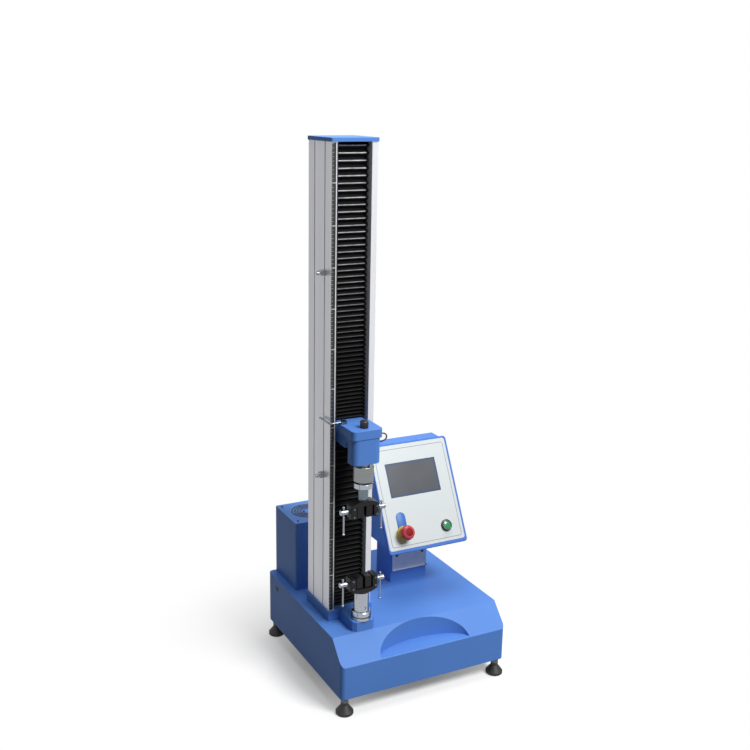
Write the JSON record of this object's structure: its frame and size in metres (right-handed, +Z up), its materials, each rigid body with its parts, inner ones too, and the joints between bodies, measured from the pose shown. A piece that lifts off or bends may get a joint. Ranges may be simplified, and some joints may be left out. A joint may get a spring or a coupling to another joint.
{
  "type": "universal testing machine",
  "caption": "Bench tensile tester: one grooved column on a box base, a crosshead with load cell and screw grips in front, and a tilted touch-screen panel on a stand.",
  "frame": {"origin": "middle of the base's footprint, on the surface that the feet stand on", "axes": "+Z up, +X to the right along the front, +Y to the back"},
  "size_m": [0.502, 0.496, 1.4275],
  "materials": {
    "blue_paint": "fine textured paint",
    "aluminium": "satin anodised",
    "steel": "machined",
    "chrome": "polished",
    "blackened_steel": "blackened",
    "black_plastic": "moulded",
    "bellows_cloth": "coated cloth",
    "cable_rubber": "smooth jacket",
    "red_plastic": "glossy",
    "yellow_plastic": "moulded",
    "green_plastic": "glossy",
    "grey_plastic": "moulded",
    "screen": "touch glass",
    "cell_metal": "matt plated"
  },
  "bodies": {
    "frame": {"base_cover": "blue_paint", "base_plate": "steel", "column_foot_block": "blue_paint", "column_extrusion": "aluminium", "top_plate": "blue_paint", "guides_and_bearings": "steel", "drive_belt": "cable_rubber", "drive_motor": "blackened_steel", "rear_housing": "blue_paint", "fan_frame": "black_plastic", "lower_adaptor": "chrome", "lower_grip_yoke": "blackened_steel", "panel_casing": "blue_paint", "panel_face": "blue_paint", "touch_screen": "screen", "estop_base": "yellow_plastic", "panel_stand": "blue_paint", "switch_housing": "black_plastic", "mains_inlet": "black_plastic", "upper_bellows": "bellows_cloth", "lower_bellows": "bellows_cloth"},
    "crosshead": {"crosshead_carriage": "steel", "carriage_bearings": "steel", "crosshead_arm": "blue_paint", "arm_cap": "blue_paint", "arm_front_cover": "blue_paint", "load_cell": "cell_metal", "load_cell_cable": "cable_rubber", "trip_rod": "steel", "upper_adaptor": "steel", "upper_grip_yoke": "blackened_steel"},
    "screw": {"ball_screw": "steel", "screw_pulley": "aluminium"},
    "motor_shaft": {"motor_pulley": "aluminium"},
    "fan": {"fan_rotor": "black_plastic"},
    "cell_knob": {"load_cell_knob": "black_plastic"},
    "upper_ring": {"upper_lock_ring": "chrome"},
    "lower_ring": {"lower_lock_ring": "chrome"},
    "upper_stop": {"upper_limit_stop": "aluminium"},
    "lower_stop": {"lower_limit_stop": "aluminium"},
    "emergency_stop": {"estop_button": "red_plastic"},
    "start": {"start_button": "green_plastic"},
    "door": {"printer_door": "grey_plastic"},
    "rocker": {"power_rocker": "black_plastic"},
    "upper_left_jaw_set": {"upper_left_jaw": "blackened_steel"},
    "upper_left_screw": {"upper_left_clamp_screw": "chrome"},
    "upper_left_bar": {"upper_left_tommy_bar": "chrome"},
    "upper_right_jaw_set": {"upper_right_jaw": "blackened_steel"},
    "upper_right_screw": {"upper_right_clamp_screw": "chrome"},
    "upper_right_bar": {"upper_right_tommy_bar": "chrome"},
    "lower_left_jaw_set": {"lower_left_jaw": "blackened_steel"},
    "lower_left_screw": {"lower_left_clamp_screw": "chrome"},
    "lower_left_bar": {"lower_left_tommy_bar": "chrome"},
    "lower_right_jaw_set": {"lower_right_jaw": "blackened_steel"},
    "lower_right_screw": {"lower_right_clamp_screw": "chrome"},
    "lower_right_bar": {"lower_right_tommy_bar": "chrome"},
    "foot_front_left": {"levelling_foot_front_left": "black_plastic"},
    "foot_front_right": {"levelling_foot_front_right": "black_plastic"},
    "foot_rear_left": {"levelling_foot_rear_left": "black_plastic"},
    "foot_rear_right": {"levelling_foot_rear_right": "black_plastic"}
  },
  "joints": [
    {"name": "crosshead_slide", "type": "slide", "parent": "frame", "child": "crosshead", "axis": [0, 0, 1], "range_m": [-0.062, 0.355], "deforming": ["upper_bellows", "lower_bellows"]},
    {"name": "screw_spin", "type": "hinge", "parent": "frame", "child": "screw", "pos_m": [-0.15352, -0.004, 0.8], "axis": [0, 0, 1], "continuous": true},
    {"name": "motor_spin", "type": "hinge", "parent": "frame", "child": "motor_shaft", "pos_m": [-0.15352, 0.168, 0.13], "axis": [0, 0, 1], "continuous": true},
    {"name": "fan_spin", "type": "hinge", "parent": "frame", "child": "fan", "pos_m": [-0.15352, 0.1675, 0.38], "axis": [0, 0, 1], "continuous": true},
    {"name": "cell_knob_turn", "type": "hinge", "parent": "crosshead", "child": "cell_knob", "pos_m": [-0.15352, -0.1655, 0.745], "axis": [0, 0, 1], "continuous": true},
    {"name": "upper_lock_ring_turn", "type": "hinge", "parent": "crosshead", "child": "upper_ring", "pos_m": [-0.15352, -0.1655, 0.588], "axis": [0, 0, 1], "continuous": true},
    {"name": "lower_lock_ring_turn", "type": "hinge", "parent": "frame", "child": "lower_ring", "pos_m": [-0.15352, -0.1655, 0.24], "axis": [0, 0, 1], "continuous": true},
    {"name": "upper_left_jaw_slide", "type": "slide", "parent": "crosshead", "child": "upper_left_jaw_set", "axis": [1, 0, 0], "range_m": [-0.0015, 0.003]},
    {"name": "upper_left_screw_turn", "type": "hinge", "parent": "upper_left_jaw_set", "child": "upper_left_screw", "pos_m": [-0.19852, -0.1655, 0.5225], "axis": [1, 0, 0], "range_deg": [-181, 361]},
    {"name": "upper_left_bar_slide", "type": "slide", "parent": "upper_left_screw", "child": "upper_left_bar", "axis": [0, 0, 1], "range_m": [-0.0025, 0.048]},
    {"name": "upper_right_jaw_slide", "type": "slide", "parent": "crosshead", "child": "upper_right_jaw_set", "axis": [-1, 0, 0], "range_m": [-0.0015, 0.003]},
    {"name": "upper_right_screw_turn", "type": "hinge", "parent": "upper_right_jaw_set", "child": "upper_right_screw", "pos_m": [-0.10852, -0.1655, 0.5225], "axis": [-1, 0, 0], "range_deg": [-181, 361]},
    {"name": "upper_right_bar_slide", "type": "slide", "parent": "upper_right_screw", "child": "upper_right_bar", "axis": [0, 0, 1], "range_m": [-0.0025, 0.048]},
    {"name": "lower_left_jaw_slide", "type": "slide", "parent": "frame", "child": "lower_left_jaw_set", "axis": [1, 0, 0], "range_m": [-0.0015, 0.003]},
    {"name": "lower_left_screw_turn", "type": "hinge", "parent": "lower_left_jaw_set", "child": "lower_left_screw", "pos_m": [-0.19852, -0.1655, 0.326], "axis": [1, 0, 0], "range_deg": [-181, 361]},
    {"name": "lower_left_bar_slide", "type": "slide", "parent": "lower_left_screw", "child": "lower_left_bar", "axis": [0, 0, 1], "range_m": [-0.0025, 0.048]},
    {"name": "lower_right_jaw_slide", "type": "slide", "parent": "frame", "child": "lower_right_jaw_set", "axis": [-1, 0, 0], "range_m": [-0.0015, 0.003]},
    {"name": "lower_right_screw_turn", "type": "hinge", "parent": "lower_right_jaw_set", "child": "lower_right_screw", "pos_m": [-0.10852, -0.1655, 0.326], "axis": [-1, 0, 0], "range_deg": [-181, 361]},
    {"name": "lower_right_bar_slide", "type": "slide", "parent": "lower_right_screw", "child": "lower_right_bar", "axis": [0, 0, 1], "range_m": [-0.0025, 0.048]},
    {"name": "upper_stop_slide", "type": "slide", "parent": "frame", "child": "upper_stop", "axis": [0, 0, 1], "range_m": [0, 0.25]},
    {"name": "lower_stop_slide", "type": "slide", "parent": "frame", "child": "lower_stop", "axis": [0, 0, 1], "range_m": [-0.3, 0]},
    {"name": "estop_push", "type": "slide", "parent": "frame", "child": "emergency_stop", "axis": [0, 0.8862, -0.4633], "range_m": [0, 0.006]},
    {"name": "start_push", "type": "slide", "parent": "frame", "child": "start", "axis": [0, 0.8862, -0.4633], "range_m": [0, 0.004], "stiffness_N_per_m": 500},
    {"name": "printer_door_swing", "type": "hinge", "parent": "frame", "child": "door", "pos_m": [0.09555, 0.0252, 0.2315], "axis": [1, 0, 0], "range_deg": [0, 90]},
    {"name": "power_rocker_tilt", "type": "hinge", "parent": "frame", "child": "rocker", "pos_m": [-0.241, 0.183, 0.166], "axis": [0, 0, 1], "range_deg": [-10, 10]},
    {"name": "foot_front_left_height", "type": "slide", "parent": "frame", "child": "foot_front_left", "axis": [0, 0, 1], "range_m": [-0.006, 0.006]},
    {"name": "foot_front_right_height", "type": "slide", "parent": "frame", "child": "foot_front_right", "axis": [0, 0, 1], "range_m": [-0.006, 0.006]},
    {"name": "foot_rear_left_height", "type": "slide", "parent": "frame", "child": "foot_rear_left", "axis": [0, 0, 1], "range_m": [-0.006, 0.006]},
    {"name": "foot_rear_right_height", "type": "slide", "parent": "frame", "child": "foot_rear_right", "axis": [0, 0, 1], "range_m": [-0.006, 0.006]}
  ],
  "couplings": [
    {"joint": "screw_spin", "follows": "crosshead_slide", "rad_per_m": -628.32},
    {"joint": "motor_spin", "follows": "crosshead_slide", "rad_per_m": -1028.2},
    {"joint": "upper_left_screw_turn", "follows": "upper_left_jaw_slide", "rad_per_m": 2094.4},
    {"joint": "upper_right_screw_turn", "follows": "upper_right_jaw_slide", "rad_per_m": 2094.4},
    {"joint": "lower_left_screw_turn", "follows": "lower_left_jaw_slide", "rad_per_m": 2094.4},
    {"joint": "lower_right_screw_turn", "follows": "lower_right_jaw_slide", "rad_per_m": 2094.4}
  ]
}
